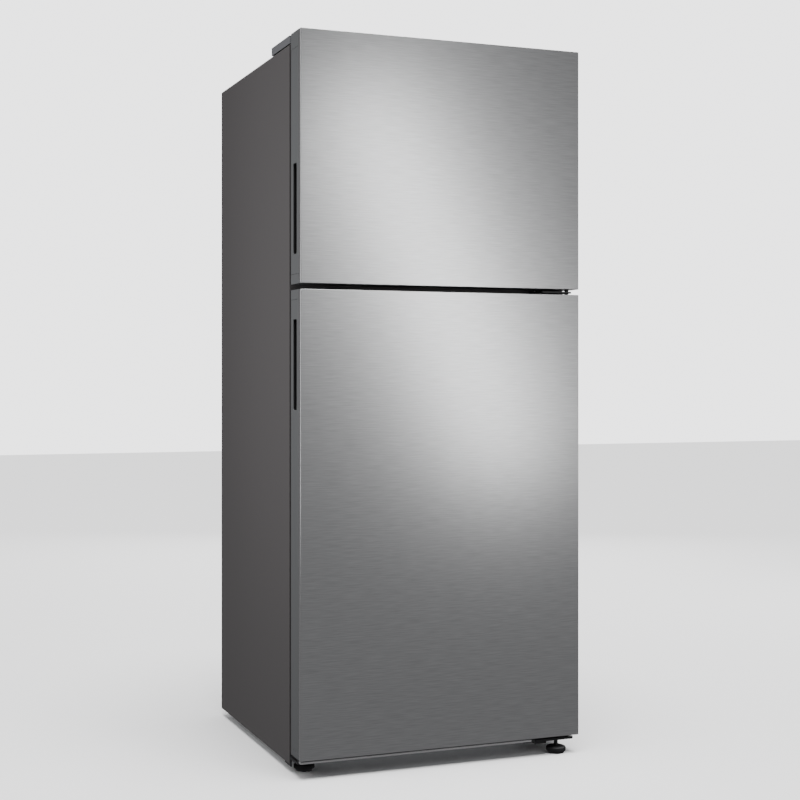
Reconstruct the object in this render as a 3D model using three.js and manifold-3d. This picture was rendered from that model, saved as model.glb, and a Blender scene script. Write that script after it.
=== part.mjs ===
// Top freezer refrigerator: a two-door cabinet with side handle slots, as an assembly of separate pieces.
// Millimetres. +X is the user's right, -Y is the front, +Z is up; the origin is on the floor, mid-way
// across and mid-way from the door fronts to the rear panel.
import * as THREE from 'three';
import { mergeVertices } from 'three/addons/utils/BufferGeometryUtils.js';
import Module from 'manifold-3d';

// ---------------------------------------------------------------- driving dimensions
const WIDTH = 700;                 // over the cabinet sides, and over each door
const DEPTH = 700;                 // door fronts to rear panel
const HEIGHT = 1685;               // floor to the top of the freezer door
const GAP = 0.3;                   // between pieces that seat on each other
const SLIDE = 1;                   // round a piece that slides or drops in

const DOOR_THICKNESS = 73;
const DOOR_STANDOFF = 11;          // door back to cabinet front, where the gasket sits
const FRIDGE_DOOR_BOTTOM = 37;
const FRIDGE_SHARE = 0.6534;       // fridge door's top edge, as a share of the whole height
const SPLIT = 13;                  // between the two doors

const SHELL_BOTTOM = 19;
const TOP_COVER_HEIGHT = 19;
const TOP_COVER_DEPTH = 146;
const SHEET = 1;                   // steel sheet of shell, rear panel and door fronts
const SIDE_WALL = 50;              // shell outside to liner inside
const TOP_WALL = 60;
const BACK_WALL = 60;
const FREEZER_FLOOR_RISE = 35;     // inside floor of the freezer above the fridge door's top edge
const FRIDGE_FLOOR = 95;
const CENTRE_WALL = 60;            // between the two compartments
const LINER = 2;
const HUMP_HEIGHT = 270;           // raised liner floor over the machine compartment
const HUMP_FRONT = 150;            // its front face, along Y
const HUMP_WALL = 34;              // liner inside to machine compartment

const PIN_FROM_SIDE = 16;          // hinge axis from the right side
const PIN_FROM_FRONT = 33;         // hinge axis from the door front
const PIN_RADIUS = 5;
const PIN_CLEARANCE = 0.3;
const HINGE_ARM_HALF = 7.5;        // half-width of the top hinge's arm, which the door's top clears when open
const DOOR_EDGE_RADIUS = 6;
const FRONT_RETURN = 14;           // how far the steel front folds back round the door's edges
const TRIM_WIDTH = 20;
const TRIM_WALL = 2.5;
const CAP_HEIGHT = 22;
const PIN_LENGTH = 13;             // how far a hinge pin stands in a door's cap
const TOP_POCKET = 21;             // recess in the freezer door's top for the top hinge
const STRIP_HEIGHT = 7;            // plastic strip showing under the fridge door's steel
const STRIP_END = 125;             // the strip stops this far from the door's right side
const STRIP_LIP = 10;              // the strip's base behind the steel front

const HANDLE_SLOT_DEPTH = 30;      // slot's front edge behind the door front
const HANDLE_SLOT_WIDTH = 26;
const HANDLE_SLOT_LENGTH = 205;
const FREEZER_HANDLE_RISE = 68;    // slot's end from the door's bottom
const FRIDGE_HANDLE_DROP = 67;     // slot's end from the door's top
const HANDLE_POCKET_REACH = 44;
const HANDLE_UNDERCUT = 9;

const GASKET_WIDTH = 16;
const GASKET_SIDE_INSET = 28;      // gasket's outer edge from the cabinet side
const DIKE_WIDTH = 28;             // raised rim of the door liner
const DIKE_DEPTH = 35;
const DIKE_SIDE_CLEARANCE = 28;    // rim to the compartment's side wall
const DIKE_END_CLEARANCE = 16;     // rim to the compartment's floor and ceiling
const BIN_WALL = 2.5;
const BIN_REACH = 160;             // how far bins stand behind the hinge axis

const FOOT_RADIUS = 24;
const FOOT_HEIGHT = 18;
const STUD_RADIUS = 5;
const RIGHT_FOOT_FROM_SIDE = 48;
const RIGHT_FOOT_FROM_FRONT = 27;  // under the hinge bracket's nose
const LEFT_FOOT_FROM_SIDE = 38;
const LEFT_FOOT_FROM_FRONT = 94;   // under the cabinet's front edge
const BRACKET_THICKNESS = 5;
const ROLLER_RADIUS = 13;
const ROLLER_WIDTH = 24;
const ROLLER_AXLE_RADIUS = 3;
const BORE_CLEARANCE = 0.15;

const SHELF_THICKNESS = 14;
const SHELF_FRONT = 185;           // shelf and drawer fronts behind the hinge axis
const UPPER_SHELF_SHARE = 0.6444;  // shelf heights, as shares of the space over the drawers
const LOWER_SHELF_SHARE = 0.3243;
const CRISPER_RISE = 72;           // drawers' glass cover above the raised liner floor
const CRISPER_SHOULDER = 36;       // moulded side bulge beside the drawers
const DRAWER_WALL = 2.5;
const FREEZER_SHELF_SHARE = 0.5234;

// ---------------------------------------------------------------- places worked out from them
const LEFT = -WIDTH / 2;
const RIGHT = WIDTH / 2;
const DOOR_FRONT = -DEPTH / 2;
const REAR = DEPTH / 2;
const DOOR_BACK = DOOR_FRONT + DOOR_THICKNESS;
const CABINET_FRONT = DOOR_BACK + DOOR_STANDOFF;
const CABINET_TOP = HEIGHT - TOP_COVER_HEIGHT;
const FRIDGE_DOOR_TOP = Math.round(HEIGHT * FRIDGE_SHARE);
const FREEZER_DOOR_BOTTOM = FRIDGE_DOOR_TOP + SPLIT;
const PIN_X = RIGHT - PIN_FROM_SIDE;
const PIN_Y = DOOR_FRONT + PIN_FROM_FRONT;
const INNER_HALF = WIDTH / 2 - SIDE_WALL;
const LINER_HALF = INNER_HALF + LINER;
const LINER_BACK = REAR - BACK_WALL;
const FREEZER_FLOOR = FRIDGE_DOOR_TOP + FREEZER_FLOOR_RISE;
const FREEZER_CEILING = CABINET_TOP - TOP_WALL;
const FRIDGE_CEILING = FREEZER_FLOOR - CENTRE_WALL;
const MACHINE_FRONT = HUMP_FRONT + HUMP_WALL;
const MACHINE_TOP = HUMP_HEIGHT - HUMP_WALL;
const SHELF_Y = PIN_Y + SHELF_FRONT;
const CRISPER_COVER_HEIGHT = HUMP_HEIGHT + CRISPER_RISE;
const OVER_DRAWERS = FRIDGE_CEILING - CRISPER_COVER_HEIGHT;
const LOWER_SHELF_HEIGHT = CRISPER_COVER_HEIGHT + Math.round(OVER_DRAWERS * LOWER_SHELF_SHARE);
const UPPER_SHELF_HEIGHT = CRISPER_COVER_HEIGHT + Math.round(OVER_DRAWERS * UPPER_SHELF_SHARE);
const FREEZER_SPACE = FREEZER_CEILING - FREEZER_FLOOR;
const FREEZER_SHELF_HEIGHT = FREEZER_FLOOR + Math.round(FREEZER_SPACE * FREEZER_SHELF_SHARE);
const FOAM_BOTTOM = FRIDGE_DOOR_BOTTOM + 8;
const RAIL_FRONT_Z = [FRIDGE_CEILING + LINER + GAP, FREEZER_FLOOR - LINER - GAP];

// ---------------------------------------------------------------- solids
const wasm = await Module();
wasm.setup();
const MERGE = 1e-4;

/** A closed three.js geometry as a manifold solid, its equal points merged and flat triangles dropped. */
function solid(geometry) {
  geometry.deleteAttribute('normal');
  geometry.deleteAttribute('uv');
  const merged = mergeVertices(geometry, MERGE);
  const index = merged.index.array;
  const kept = [];
  for (let i = 0; i < index.length; i += 3) {
    const [a, b, c] = [index[i], index[i + 1], index[i + 2]];
    if (a !== b && b !== c && c !== a) kept.push(a, b, c);
  }
  const vertProperties = merged.attributes.position.array;
  return new wasm.Manifold(new wasm.Mesh({ numProp: 3, vertProperties, triVerts: Uint32Array.from(kept) }));
}

/** A box between two x, two y and two z values. */
function box([x0, x1], [y0, y1], [z0, z1]) {
  const geometry = new THREE.BoxGeometry(x1 - x0, y1 - y0, z1 - z0);
  geometry.translate((x0 + x1) / 2, (y0 + y1) / 2, (z0 + z1) / 2);
  return solid(geometry);
}

const PRISM_AXES = {
  x: [new THREE.Vector3(0, 1, 0), new THREE.Vector3(0, 0, 1), new THREE.Vector3(1, 0, 0)],
  y: [new THREE.Vector3(1, 0, 0), new THREE.Vector3(0, 0, 1), new THREE.Vector3(0, -1, 0)],
  z: [new THREE.Vector3(1, 0, 0), new THREE.Vector3(0, 1, 0), new THREE.Vector3(0, 0, 1)],
};

/** An outline in the plane across an axis (YZ, XZ or XY), drawn out between two places on that axis. */
function prism(shape, axis, [from, to], curveSegments = 4) {
  const geometry = new THREE.ExtrudeGeometry(shape, { depth: to - from, bevelEnabled: false, curveSegments });
  geometry.applyMatrix4(new THREE.Matrix4().makeBasis(...PRISM_AXES[axis]));
  const start = axis === 'y' ? to : from;
  geometry.translate(axis === 'x' ? start : 0, axis === 'y' ? start : 0, axis === 'z' ? start : 0);
  return solid(geometry);
}

/** A polygon from corner pairs. */
function outline(...corners) {
  return new THREE.Shape(corners.map(([u, v]) => new THREE.Vector2(u, v)));
}

/** A rectangle with its own radius at each corner, from the low corner round by the right. */
function rounded([u0, u1], [v0, v1], [r0, r1, r2, r3]) {
  const shape = new THREE.Shape();
  const quarter = Math.PI / 2;
  const corner = (u, v, r, turn) => {
    if (r > 0) shape.absarc(u, v, r, turn * quarter, (turn + 1) * quarter, false);
    else shape.lineTo(u, v);
  };
  shape.moveTo(u0 + r0, v0);
  corner(u1 - r1, v0 + r1, r1, 3);
  corner(u1 - r2, v1 - r2, r2, 0);
  corner(u0 + r3, v1 - r3, r3, 1);
  corner(u0 + r0, v0 + r0, r0, 2);
  return shape;
}

/** A round rod along an axis; its centre is given by the two other coordinates in order. */
function rod(axis, [u, v], radius, span, sides = 24) {
  const points = Array.from({ length: sides }, (_, i) => {
    const turn = (2 * Math.PI * i) / sides;
    return [u + radius * Math.cos(turn), v + radius * Math.sin(turn)];
  });
  return prism(outline(...points), axis, span);
}

/** A profile of radius and height pairs, starting and ending on the axis, turned about Z. */
function turned(profile, sides) {
  const geometry = new THREE.LatheGeometry(profile.map(([r, h]) => new THREE.Vector2(r, h)), sides);
  geometry.rotateX(Math.PI / 2);
  return solid(geometry);
}

/** All the solids joined into one. */
function join(first, ...rest) {
  return rest.reduce((whole, piece) => whole.add(piece), first);
}

/** The first solid with the others cut out of it. */
function cut(first, ...rest) {
  return rest.reduce((whole, piece) => whole.subtract(piece), first);
}

const FINISHES = {
  brushed: { color: 0xa9abae, roughness: 0.35, metalness: 0.9 },
  greyPaint: { color: 0x565455, roughness: 0.55, metalness: 0.2 },
  doorSide: { color: 0x66686a, roughness: 0.5, metalness: 0.2 },
  coverGrey: { color: 0x6c6d72, roughness: 0.6, metalness: 0 },
  stripGrey: { color: 0x8e8f92, roughness: 0.5, metalness: 0 },
  black: { color: 0x17171a, roughness: 0.6, metalness: 0 },
  zinc: { color: 0xb7babc, roughness: 0.4, metalness: 0.9 },
  white: { color: 0xeff1f2, roughness: 0.4, metalness: 0 },
  foam: { color: 0xe4d6a8, roughness: 0.9, metalness: 0 },
  gasket: { color: 0x424346, roughness: 0.8, metalness: 0 },
  clear: { color: 0xdcecf2, roughness: 0.15, metalness: 0, transparent: true, opacity: 0.4 },
  glass: { color: 0xcfe6e4, roughness: 0.05, metalness: 0, transparent: true, opacity: 0.35 },
  fin: { color: 0xc4c8ca, roughness: 0.35, metalness: 0.9 },
  enamel: { color: 0x1b1c1f, roughness: 0.35, metalness: 0.3 },
};

/** Puts a solid into a group as a named mesh. */
function place(group, name, finish, piece) {
  const { vertProperties, triVerts } = piece.getMesh();
  const geometry = new THREE.BufferGeometry();
  geometry.setAttribute('position', new THREE.BufferAttribute(vertProperties, 3));
  geometry.setIndex(new THREE.BufferAttribute(triVerts, 1));
  geometry.computeVertexNormals();
  const mesh = new THREE.Mesh(geometry, new THREE.MeshStandardMaterial(FINISHES[finish]));
  mesh.name = name;
  group.add(mesh);
}

// ---------------------------------------------------------------- cabinet shell
function cabinetShell(cabinet) {
  const cornerRadius = 6;
  const flangeInner = LINER_HALF + GAP;
  const flangeTop = FREEZER_CEILING + LINER + GAP;
  const flangeBottom = FRIDGE_FLOOR - LINER - GAP;
  const sillBottom = FRIDGE_DOOR_BOTTOM + 6;
  const shellBack = REAR - SHEET - GAP;
  const outer = (inset) => rounded(
    [LEFT + inset, RIGHT - inset], [SHELL_BOTTOM - (inset ? 1 : 0), CABINET_TOP - inset],
    [0, 0, cornerRadius - inset, cornerRadius - inset]);
  const wrap = cut(
    prism(outer(0), 'y', [CABINET_FRONT, shellBack]),
    prism(outer(SHEET), 'y', [CABINET_FRONT + SHEET, shellBack + 1]));
  const flangeY = [CABINET_FRONT - 1, CABINET_FRONT + SHEET + 1];
  const mouth = join(
    box([-flangeInner, flangeInner], flangeY, [flangeBottom, flangeTop]),
    box([LEFT + SHEET, flangeInner], flangeY, [0, sillBottom]));
  place(cabinet, 'outer_shell', 'greyPaint', cut(wrap, mouth));

  const rearPanelBottom = MACHINE_TOP + 4;
  const rearPanel = prism(
    rounded([LEFT, RIGHT], [rearPanelBottom, CABINET_TOP], [0, 0, cornerRadius, cornerRadius]),
    'y', [REAR - SHEET, REAR]);
  place(cabinet, 'rear_panel', 'zinc', rearPanel);

  const rows = 8;
  const lowestSlot = 70;
  const slotHeight = 6;
  const slotPitch = (rearPanelBottom - lowestSlot - 44) / (rows - 1);
  const slotCentre = 165;
  const slotHalf = 75;
  const slots = [];
  for (const x of [-slotCentre, slotCentre]) {
    for (let row = 0; row < rows; row += 1) {
      const z = lowestSlot + row * slotPitch;
      slots.push(box([x - slotHalf, x + slotHalf], [REAR - 4, REAR + 1], [z, z + slotHeight]));
    }
  }
  const inletHalf = 26;
  const inletZ = [rearPanelBottom - 60, rearPanelBottom - 28];
  const inletWindow = box([-inletHalf, inletHalf], [REAR - 4, REAR + 1], inletZ);
  const coverPlate = box([LEFT, RIGHT], [REAR - SHEET, REAR], [SHELL_BOTTOM + 3, rearPanelBottom - GAP]);
  place(cabinet, 'compressor_cover', 'black', cut(coverPlate, inletWindow, ...slots));

  const inletBody = box(
    [-inletHalf + GAP, inletHalf - GAP], [REAR - 24, REAR], [inletZ[0] + GAP, inletZ[1] - GAP]);
  const socket = box([-12, 12], [REAR - 16, REAR + 1], [inletZ[0] + 7, inletZ[1] - 7]);
  place(cabinet, 'power_inlet', 'black', cut(inletBody, socket));
}

// ---------------------------------------------------------------- liners, foam and rails
function linersAndFoam(cabinet) {
  const mouthY = CABINET_FRONT;
  const freezerShell = box([-LINER_HALF, LINER_HALF], [mouthY, LINER_BACK + LINER],
    [FREEZER_FLOOR - LINER, FREEZER_CEILING + LINER]);
  const freezerSpace = box(
    [-INNER_HALF, INNER_HALF], [mouthY - 1, LINER_BACK], [FREEZER_FLOOR, FREEZER_CEILING]);
  const ribReach = 6;
  const ribHeight = 8;
  const rib = (side, z, y0, y1) => {
    const x = side < 0 ? [-INNER_HALF - 1, -INNER_HALF + ribReach] : [INNER_HALF - ribReach, INNER_HALF + 1];
    return box(x, [y0, y1], [z - ribHeight, z]);
  };
  const freezerRibs = [-1, 1].map((side) => rib(side, FREEZER_SHELF_HEIGHT - GAP, SHELF_Y + 20, 200));
  place(cabinet, 'freezer_liner', 'white', join(cut(freezerShell, freezerSpace), ...freezerRibs));

  const stepped = (grow, front) => outline(
    [front, FRIDGE_FLOOR - grow], [HUMP_FRONT + grow, FRIDGE_FLOOR - grow],
    [HUMP_FRONT + grow, HUMP_HEIGHT - grow], [LINER_BACK + grow, HUMP_HEIGHT - grow],
    [LINER_BACK + grow, FRIDGE_CEILING + grow], [front, FRIDGE_CEILING + grow]);
  const fridgeShell = prism(stepped(LINER, mouthY), 'x', [-LINER_HALF, LINER_HALF]);
  const fridgeSpace = prism(stepped(0, mouthY - 1), 'x', [-INNER_HALF, INNER_HALF]);
  const fridgeRibs = [UPPER_SHELF_HEIGHT, LOWER_SHELF_HEIGHT, CRISPER_COVER_HEIGHT].flatMap(
    (z) => [-1, 1].map((side) => rib(side, z - GAP, SHELF_Y + 20, 255)));
  const shoulder = (x0, x1) => box(
    [x0, x1], [SHELF_Y + 12, HUMP_FRONT + 1], [FRIDGE_FLOOR - 1, CRISPER_COVER_HEIGHT - 12]);
  const shoulders = [
    shoulder(-INNER_HALF - 1, -INNER_HALF + CRISPER_SHOULDER),
    shoulder(INNER_HALF - CRISPER_SHOULDER, INNER_HALF + 1)];
  place(cabinet, 'fridge_liner', 'white', join(cut(fridgeShell, fridgeSpace), ...fridgeRibs, ...shoulders));

  const railBack = CABINET_FRONT + 20;
  const centreRail = cut(
    box([-LINER_HALF, LINER_HALF], [CABINET_FRONT, railBack], RAIL_FRONT_Z),
    box([-LINER_HALF + 2, LINER_HALF - 2], [CABINET_FRONT + 2, railBack + 1],
      [RAIL_FRONT_Z[0] + 2, RAIL_FRONT_Z[1] - 2]));
  place(cabinet, 'centre_rail', 'greyPaint', centreRail);

  const foamInner = WIDTH / 2 - SHEET - GAP;
  const foamFront = CABINET_FRONT + SHEET + GAP;
  const foamBlock = box([-foamInner, foamInner], [foamFront, REAR - SHEET - GAP],
    [FOAM_BOTTOM, CABINET_TOP - SHEET - GAP]);
  const seat = LINER + GAP;
  const foam = cut(foamBlock,
    box([-INNER_HALF - seat, INNER_HALF + seat], [mouthY - 1, LINER_BACK + seat],
      [FREEZER_FLOOR - seat, FREEZER_CEILING + seat]),
    prism(stepped(seat, mouthY - 1), 'x', [-INNER_HALF - seat, INNER_HALF + seat]),
    box([-INNER_HALF - seat, INNER_HALF + seat], [mouthY - 1, railBack + GAP],
      [RAIL_FRONT_Z[0] - 1, RAIL_FRONT_Z[1] + 1]),
    box([LEFT, RIGHT], [MACHINE_FRONT, REAR], [0, MACHINE_TOP]),
    box([foamInner - 6, RIGHT], [foamFront - 1, REAR], [CABINET_TOP - SHEET - 6, CABINET_TOP]),
    box([LEFT, -foamInner + 6], [foamFront - 1, REAR], [CABINET_TOP - SHEET - 6, CABINET_TOP]));
  place(cabinet, 'cabinet_insulation', 'foam', foam);
}

// ---------------------------------------------------------------- hinges, top cover and levelling hardware
function hardware(cabinet) {
  const coverSpan = [CABINET_FRONT, CABINET_FRONT + TOP_COVER_DEPTH];
  const wall = 2;
  const coverBottom = CABINET_TOP + GAP;
  const armX = [PIN_X - HINGE_ARM_HALF, PIN_X + HINGE_ARM_HALF];
  const plateTop = coverBottom + 3;
  const cover = cut(
    box([LEFT, RIGHT], coverSpan, [coverBottom, HEIGHT]),
    box([LEFT + wall, RIGHT - wall], [coverSpan[0] + wall, coverSpan[1] - wall],
      [coverBottom - 1, HEIGHT - wall]),
    box([armX[0] - 1, armX[1] + 1], [coverSpan[0] - 1, coverSpan[0] + wall + 1],
      [coverBottom - 1, plateTop + 1]));
  place(cabinet, 'top_cover', 'coverGrey', cover);

  const topPlate = join(
    box([PIN_X - 70, PIN_X + 9], [CABINET_FRONT + 8, CABINET_FRONT + 78], [coverBottom, plateTop]),
    box(armX, [PIN_Y, CABINET_FRONT + 20], [coverBottom, plateTop]),
    rod('z', [PIN_X, PIN_Y], HINGE_ARM_HALF, [coverBottom, plateTop]),
    rod('z', [PIN_X, PIN_Y], PIN_RADIUS, [HEIGHT - TOP_POCKET - PIN_LENGTH, coverBottom + 1]));
  place(cabinet, 'top_hinge', 'zinc', topPlate);

  const midBottom = FRIDGE_DOOR_TOP + 4.5;
  const midTop = midBottom + 4;
  const midX = [PIN_X - 74, PIN_X + 10];
  const flangeY = [CABINET_FRONT - GAP - 3, CABINET_FRONT - GAP];
  const middle = join(
    prism(rounded(midX, [PIN_Y - 12, flangeY[1]], [8, 8, 0, 0]), 'z', [midBottom, midTop]),
    box(midX, flangeY, [midBottom - 4, midTop + 4]),
    rod('z', [PIN_X, PIN_Y], PIN_RADIUS, [FRIDGE_DOOR_TOP - PIN_LENGTH, FREEZER_DOOR_BOTTOM + PIN_LENGTH]));
  place(cabinet, 'middle_hinge', 'black', middle);

  const plateZ = [FRIDGE_DOOR_BOTTOM - 1 - BRACKET_THICKNESS, FRIDGE_DOOR_BOTTOM - 1];
  const footSpots = {
    left: [LEFT + LEFT_FOOT_FROM_SIDE, DOOR_FRONT + LEFT_FOOT_FROM_FRONT],
    right: [RIGHT - RIGHT_FOOT_FROM_SIDE, DOOR_FRONT + RIGHT_FOOT_FROM_FRONT],
  };
  const footRoom = (spot) => join(
    rod('z', spot, STUD_RADIUS + BORE_CLEARANCE, [1, plateZ[1] + 1]),
    rod('z', spot, FOOT_RADIUS + SLIDE, [0, FOOT_HEIGHT + 1.5], 32));
  const bracketBack = CABINET_FRONT + 41;
  const seatBack = CABINET_FRONT - GAP;
  const bracketWall = 3;
  const skirtZ = [plateZ[0] - 5, plateZ[1]];
  const tongueZ = [SHELL_BOTTOM - 5, SHELL_BOTTOM - GAP];
  const rightX = [PIN_X - 92, RIGHT - GAP];
  const noseFront = PIN_Y - 16;
  const nose = rounded([rightX[0], PIN_X + 12], [noseFront, seatBack], [2, 8, 0, 0]);
  const rightBracket = cut(
    join(
      prism(nose, 'z', plateZ),
      box([rightX[0], rightX[0] + bracketWall], [noseFront + 2, seatBack], skirtZ),
      box([rightX[0], rightX[0] + 30], [noseFront + 2, noseFront + 2 + bracketWall], skirtZ),
      box(rightX, [seatBack - 4, seatBack], [tongueZ[0], plateZ[1]]),
      box(rightX, [seatBack - 4, bracketBack], tongueZ),
      rod('z', [PIN_X, PIN_Y], PIN_RADIUS, [plateZ[0], FRIDGE_DOOR_BOTTOM + PIN_LENGTH + 2])),
    footRoom(footSpots.right));
  place(cabinet, 'bottom_hinge', 'black', rightBracket);

  const leftX = [LEFT + SHEET + GAP, LEFT + 66];
  const leftFront = footSpots.right[1] - 2;
  const leftPlate = prism(rounded(leftX, [leftFront, bracketBack], [6, 6, 0, 0]), 'z', plateZ);
  const leftSkirt = box(
    [leftX[0], leftX[0] + bracketWall], [seatBack - 4, bracketBack], [tongueZ[0], plateZ[1]]);
  const leftBracket = cut(join(leftPlate, leftSkirt), footRoom(footSpots.left));
  place(cabinet, 'leg_bracket', 'black', leftBracket);

  const levellingFoot = (name, [x, y]) => {
    const foot = new THREE.Group();
    foot.position.set(x, y, 0);
    const r = FOOT_RADIUS;
    const h = FOOT_HEIGHT;
    const studTop = plateZ[1] - 0.5;
    place(foot, name, 'black', turned([
      [0, 0], [r - 3.5, 0], [r - 2, 4], [r, 5.5], [r, h - 6], [r - 2, h - 2], [r - 7, h],
      [STUD_RADIUS, h + 0.6], [STUD_RADIUS, studTop], [0, studTop]], 24));
    cabinet.add(foot);
  };
  levellingFoot('front_foot_left', footSpots.left);
  levellingFoot('front_foot_right', footSpots.right);
}

// ---------------------------------------------------------------- machine compartment
function machineCompartment(cabinet) {
  const panTop = SHELL_BOTTOM + 8;
  const plate = 1.5;
  const panZ = [panTop - plate, panTop];
  const panHalf = WIDTH / 2 - SHEET - SLIDE;
  const panY = [MACHINE_FRONT + GAP, REAR - SHEET - plate];
  const rollerY = REAR - 50;
  const rollerX = WIDTH / 2 - 60;
  const cheekGap = ROLLER_WIDTH / 2 + 1.5;
  const cheeks = [];
  for (const side of [-1, 1]) {
    for (const hand of [-1, 1]) {
      const x = side * rollerX + hand * (cheekGap + 1);
      const cheek = rounded([rollerY - 10, rollerY + 10], [ROLLER_RADIUS - 8, panTop], [8, 8, 0, 0]);
      cheeks.push(prism(cheek, 'x', [x - 1, x + 1]));
    }
    cheeks.push(rod('x', [rollerY, ROLLER_RADIUS], ROLLER_AXLE_RADIUS,
      [side * rollerX - cheekGap - 2, side * rollerX + cheekGap + 2], 16));
  }
  const wheelRoom = ROLLER_RADIUS + 3;
  const wheelWindow = (side) => box(
    [side * rollerX - cheekGap, side * rollerX + cheekGap], [rollerY - wheelRoom, rollerY + wheelRoom],
    [panZ[0] - 1, panZ[1] + 1]);
  const undersheetY = [CABINET_FRONT + SHEET + GAP, panY[0] + 1];
  const pan = cut(
    join(
      box([-panHalf, panHalf], panY, panZ),
      box([-panHalf, panHalf], undersheetY, [FOAM_BOTTOM - GAP - plate, FOAM_BOTTOM - GAP]),
      box([-panHalf, panHalf], [panY[0], panY[0] + plate], [panZ[0], MACHINE_TOP - GAP]),
      box([-panHalf, panHalf], panY, [MACHINE_TOP - GAP - plate, MACHINE_TOP - GAP]),
      box([-panHalf, -panHalf + plate], panY, [panZ[0], panTop + 14]),
      box([panHalf - plate, panHalf], panY, [panZ[0], panTop + 14])),
    wheelWindow(-1), wheelWindow(1));
  place(cabinet, 'base_pan', 'zinc', join(pan, ...cheeks));

  for (const [name, side] of [['rear_roller_left', -1], ['rear_roller_right', 1]]) {
    const roller = new THREE.Group();
    roller.position.set(side * rollerX, rollerY, ROLLER_RADIUS);
    const half = ROLLER_WIDTH / 2;
    place(roller, name, 'black', cut(
      join(
        rod('x', [0, 0], ROLLER_RADIUS, [-half + 1, half - 1], 24),
        rod('x', [0, 0], ROLLER_RADIUS - 1.5, [-half, half], 24)),
      rod('x', [0, 0], ROLLER_AXLE_RADIUS + BORE_CLEARANCE, [-half - 1, half + 1], 16)));
    cabinet.add(roller);
  }

  const compressor = new THREE.Group();
  compressor.position.set(RIGHT - 180, (MACHINE_FRONT + REAR) / 2, panTop + GAP);
  const feet = [[-62, -52], [62, -52], [62, 52], [-62, 52]].map((spot) => rod('z', spot, 10, [0, 14], 8));
  place(compressor, 'compressor', 'enamel', join(
    turned([[0, 12], [52, 12], [62, 20], [66, 40], [66, 94], [60, 126], [44, 144], [0, 150]], 20),
    box([-74, 74], [-62, 62], [10, 13]), ...feet,
    box([60, 92], [-24, 24], [40, 96])));
  cabinet.add(compressor);

  const trayFront = MACHINE_FRONT + 8;
  const trayX = [RIGHT - 410, RIGHT - 280];
  place(cabinet, 'drain_pan', 'black', openTray(
    trayX, [trayFront, trayFront + 120], [panTop + 2, panTop + 46], DRAWER_WALL, 8));

  const coil = [];
  const passes = 7;
  const coilLeft = LEFT + 50;
  const coilRight = LEFT + 150;
  const coilY = (MACHINE_FRONT + REAR) / 2 - 20;
  const endPlateTop = MACHINE_TOP - 37;
  const lowestPass = panTop + 24;
  const pitch = (endPlateTop - 16 - lowestPass) / (passes - 1);
  const bend = pitch / 2;
  for (let i = 0; i < passes; i += 1) {
    const z = lowestPass + i * pitch;
    const toRight = i % 2 === 0;
    const [startX, endX] = toRight ? [coilLeft, coilRight] : [coilRight, coilLeft];
    coil.push(new THREE.LineCurve3(new THREE.Vector3(startX, coilY, z), new THREE.Vector3(endX, coilY, z)));
    if (i < passes - 1) {
      const side = toRight ? 1 : -1;
      const reach = (4 / 3) * bend;
      coil.push(new THREE.CubicBezierCurve3(
        new THREE.Vector3(endX, coilY, z), new THREE.Vector3(endX + side * reach, coilY, z),
        new THREE.Vector3(endX + side * reach, coilY, z + pitch), new THREE.Vector3(endX, coilY, z + pitch)));
    }
  }
  const coilPath = new THREE.CurvePath();
  coilPath.curves = coil;
  const tubeRadius = 3;
  const tubeSides = 5;
  const tubeCorners = Array.from({ length: tubeSides }, (_, i) => {
    const turn = (2 * Math.PI * i) / tubeSides;
    return [tubeRadius * Math.cos(turn), tubeRadius * Math.sin(turn)];
  });
  const tube = solid(new THREE.ExtrudeGeometry(
    outline(...tubeCorners), { steps: 64, bevelEnabled: false, extrudePath: coilPath }));
  const endPlates = [coilLeft + 4, coilRight - 6].map(
    (x) => box([x, x + 2], [coilY - 14, coilY + 14], [panTop + GAP, endPlateTop]));
  place(cabinet, 'condenser', 'enamel', join(tube, ...endPlates));

  const fanX = coilRight + 66;
  const fanZ = panTop + 90;
  fan(cabinet, 'condenser_fan', 'x', [fanX, coilY, fanZ], 58, 14);
  const motorX = fanX + 10;
  place(cabinet, 'condenser_fan_motor', 'black', join(
    rod('x', [coilY, fanZ], 18, [motorX, motorX + 26], 16),
    box([motorX + 10, motorX + 14], [coilY - 8, coilY + 8], [panTop + GAP, fanZ])));
}

/** A five-bladed fan that turns about the axis through its place. */
function fan(parent, name, axis, [x, y, z], radius, hubRadius) {
  const group = new THREE.Group();
  group.position.set(x, y, z);
  if (axis === 'x') group.rotation.y = Math.PI / 2;
  if (axis === 'y') group.rotation.x = -Math.PI / 2;
  const hub = rod('z', [0, 0], hubRadius, [-9, 9], 20);
  const blades = [];
  for (let i = 0; i < 5; i += 1) {
    const blade = box([hubRadius - 3, radius], [-14, 14], [-1, 1]);
    blades.push(blade.rotate([28, 0, 0]).rotate([0, 0, 72 * i]));
  }
  place(group, name, 'black', join(hub, ...blades));
  parent.add(group);
}

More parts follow.
